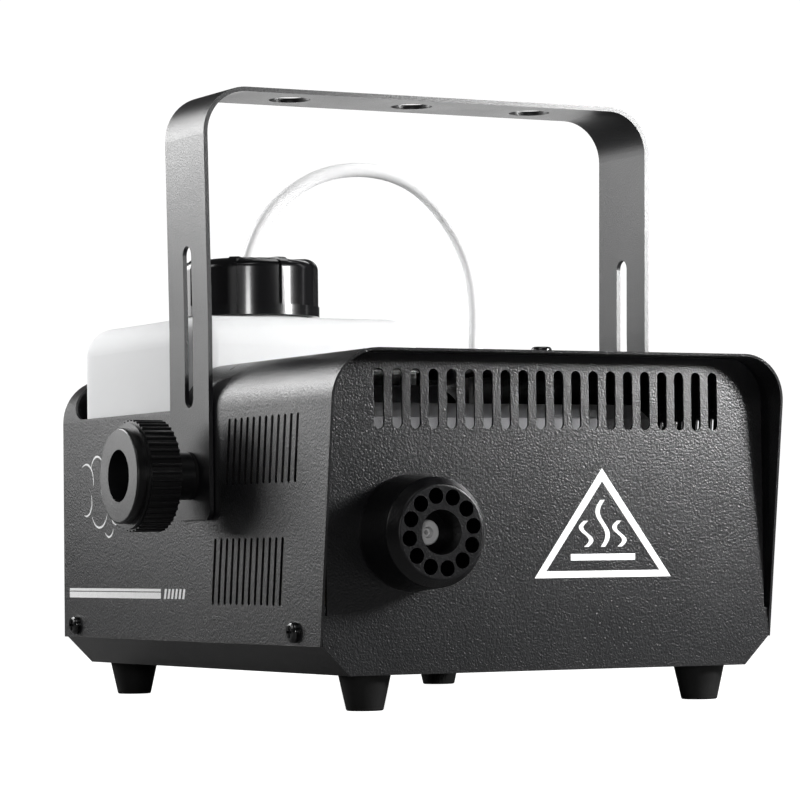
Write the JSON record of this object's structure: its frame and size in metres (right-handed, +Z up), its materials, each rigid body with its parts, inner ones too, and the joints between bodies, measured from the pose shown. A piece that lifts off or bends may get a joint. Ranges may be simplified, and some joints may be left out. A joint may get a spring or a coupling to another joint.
{
  "type": "fog machine",
  "caption": "Table-top fog machine: folded steel case with slotted front, round nozzle, lift-out fluid tank with screw cap and hose, tilting yoke and clamping knobs.",
  "frame": {"origin": "on the floor under the feet, at the middle of the whole machine's box", "axes": "+Z up, nozzle faces -Y, tank side is -X"},
  "size_m": [0.2652, 0.273, 0.2446],
  "materials": {
    "case_powder": "fine textured black powder coat",
    "zinc_steel": "zinc plated",
    "black_screw": "gloss black",
    "foot_rubber": "matt",
    "shroud_black": "satin black",
    "tip_silver": "bright",
    "brass": "turned",
    "copper": "drawn copper",
    "cast_aluminium": "as cast",
    "heater_sheath": "heat tinted",
    "mineral_wool": "felted",
    "ceramic": "unglazed ceramic",
    "fuse_white": "ceramic body",
    "coil_black": "moulded",
    "silicone": "translucent silicone",
    "board_green": "solder mask",
    "nylon_white": "nylon",
    "relay_blue": "moulded",
    "socket_black": "moulded",
    "rocker_red": "gloss translucent red",
    "tank_plastic": "translucent natural polyethylene",
    "cap_black": "gloss",
    "knob_black": "satin moulded"
  },
  "bodies": {
    "root": {"cover": "case_powder", "chassis": "case_powder", "front_panel": "case_powder", "rear_panel": "case_powder", "tank_tray": "zinc_steel", "heater_shield": "zinc_steel", "pump_bracket": "zinc_steel", "pivot_nuts": "zinc_steel", "foot_nuts": "zinc_steel", "foot_screws": "zinc_steel", "pump_spring": "zinc_steel", "cover_screws": "black_screw", "top_screw": "black_screw", "feet": "foot_rubber", "hose_grommet": "foot_rubber", "nozzle_shroud": "shroud_black", "nozzle_tip": "tip_silver", "inlet_pins": "tip_silver", "remote_pins": "tip_silver", "nozzle_pipe": "brass", "pump_body": "brass", "feed_pipe": "copper", "heater_block": "cast_aluminium", "heating_element": "heater_sheath", "thermostat": "heater_sheath", "heater_insulation": "mineral_wool", "heater_feet": "ceramic", "thermal_fuse": "fuse_white", "pump_coil": "coil_black", "board_capacitor": "coil_black", "hose": "silicone", "pump_hose": "silicone", "control_board": "board_green", "board_standoffs": "nylon_white", "board_relay": "relay_blue", "terminal_block": "relay_blue", "power_inlet": "socket_black", "switch_housing": "socket_black", "remote_socket": "socket_black", "indicator_light": "rocker_red"},
    "yoke": {"bracket": "case_powder"},
    "left_clamp": {"left_washer": "foot_rubber"},
    "left_knob_body": {"left_knob": "knob_black", "left_stud": "zinc_steel"},
    "right_clamp": {"right_washer": "foot_rubber"},
    "right_knob_body": {"right_knob": "knob_black", "right_stud": "zinc_steel"},
    "tank_body": {"tank": "tank_plastic"},
    "cap_core": {"cap_bush": "nylon_white", "cap_seal": "foot_rubber", "suction_tube": "silicone", "suction_filter": "nylon_white"},
    "cap_body": {"tank_cap": "cap_black"},
    "rocker_body": {"switch_rocker": "rocker_red"},
    "fuse_drawer_body": {"fuse_drawer": "socket_black", "fuse": "fuse_white"},
    "plunger_body": {"pump_plunger": "zinc_steel"}
  },
  "joints": [
    {"name": "bracket_tilt", "type": "hinge", "parent": "root", "child": "yoke", "pos_m": [0, -0.0027, 0.0905], "axis": [1, 0, 0], "range_deg": [-100, 105]},
    {"name": "left_clamp_travel", "type": "slide", "parent": "root", "child": "left_clamp", "axis": [-1, 0, 0], "range_m": [0, 0.0026]},
    {"name": "left_knob_turn", "type": "hinge", "parent": "left_clamp", "child": "left_knob_body", "pos_m": [-0.11, -0.0027, 0.0905], "axis": [-1, 0, 0], "range_deg": [0, 720]},
    {"name": "right_clamp_travel", "type": "slide", "parent": "root", "child": "right_clamp", "axis": [1, 0, 0], "range_m": [0, 0.0026]},
    {"name": "right_knob_turn", "type": "hinge", "parent": "right_clamp", "child": "right_knob_body", "pos_m": [0.11, -0.0027, 0.0905], "axis": [1, 0, 0], "range_deg": [0, 720]},
    {"name": "tank_lift", "type": "slide", "parent": "root", "child": "tank_body", "axis": [0, 0, 1], "range_m": [0, 0.08], "deforming": ["hose"]},
    {"name": "cap_lift", "type": "slide", "parent": "tank_body", "child": "cap_core", "axis": [0, 0, 1], "range_m": [0, 0.0102], "deforming": ["hose"]},
    {"name": "cap_turn", "type": "hinge", "parent": "cap_core", "child": "cap_body", "pos_m": [-0.0432, 0.0642, 0.17], "axis": [0, 0, 1], "range_deg": [0, 900]},
    {"name": "power_switch", "type": "hinge", "parent": "root", "child": "rocker_body", "pos_m": [0.03, 0.1292, 0.052], "axis": [1, 0, 0], "range_deg": [0, 16]},
    {"name": "fuse_drawer_slide", "type": "slide", "parent": "root", "child": "fuse_drawer_body", "axis": [0, 1, 0], "range_m": [0, 0.013]},
    {"name": "pump_stroke", "type": "slide", "parent": "root", "child": "plunger_body", "axis": [0, 1, 0], "range_m": [-0.0015, 0.003], "stiffness_N_per_m": 400, "deforming": ["pump_spring"]}
  ],
  "couplings": [
    {"joint": "left_clamp_travel", "follows": "left_knob_turn", "m_per_rad": 0.00019894},
    {"joint": "right_clamp_travel", "follows": "right_knob_turn", "m_per_rad": 0.00019894},
    {"joint": "cap_lift", "follows": "cap_turn", "m_per_rad": 0.00063662}
  ]
}
